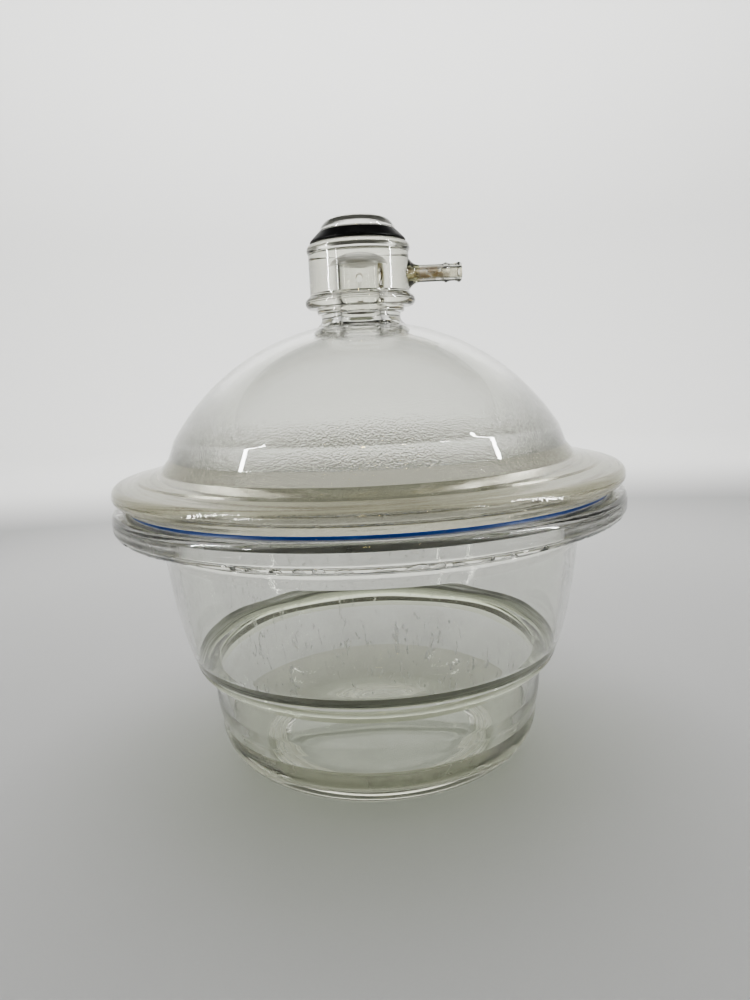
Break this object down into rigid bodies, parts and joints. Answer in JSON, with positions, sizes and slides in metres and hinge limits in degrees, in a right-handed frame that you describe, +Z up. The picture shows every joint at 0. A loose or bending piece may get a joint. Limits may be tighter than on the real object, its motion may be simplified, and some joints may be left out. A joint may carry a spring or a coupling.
{
  "type": "glass desiccator",
  "caption": "Clear glass vacuum desiccator: flanged bowl with a plate ledge and desiccant chamber, sealing ring, domed lift-off lid and a rotating sleeve valve with a hose arm.",
  "frame": {"origin": "centre of the base's resting face, on the axis of the vessel", "axes": "+Z up along the axis of the vessel, +X along the hose arm as it stands, with the valve closed, +Y away from the viewer"},
  "size_m": [0.2656, 0.2656, 0.281],
  "materials": {
    "base_glass": "clear pressed borosilicate glass",
    "lid_glass": "clear pressed borosilicate glass with a ground sealing face",
    "sleeve_glass": "clear thick-walled borosilicate glass",
    "blue_rubber": "smooth moulded elastomer",
    "black_rubber": "smooth moulded elastomer"
  },
  "bodies": {
    "base": {"base_vessel": "base_glass", "flange_o_ring": "blue_rubber"},
    "lid": {"lid_dome": "lid_glass", "retaining_ring": "black_rubber"},
    "sleeve": {"valve_sleeve": "sleeve_glass"}
  },
  "joints": [
    {"name": "lid_lift", "type": "slide", "parent": "base", "child": "lid", "axis": [0, 0, 1], "range_m": [0, 0.16]},
    {"name": "sleeve_turn", "type": "hinge", "parent": "lid", "child": "sleeve", "pos_m": [0, 0, 0.2522], "axis": [0, 0, 1], "continuous": true}
  ]
}
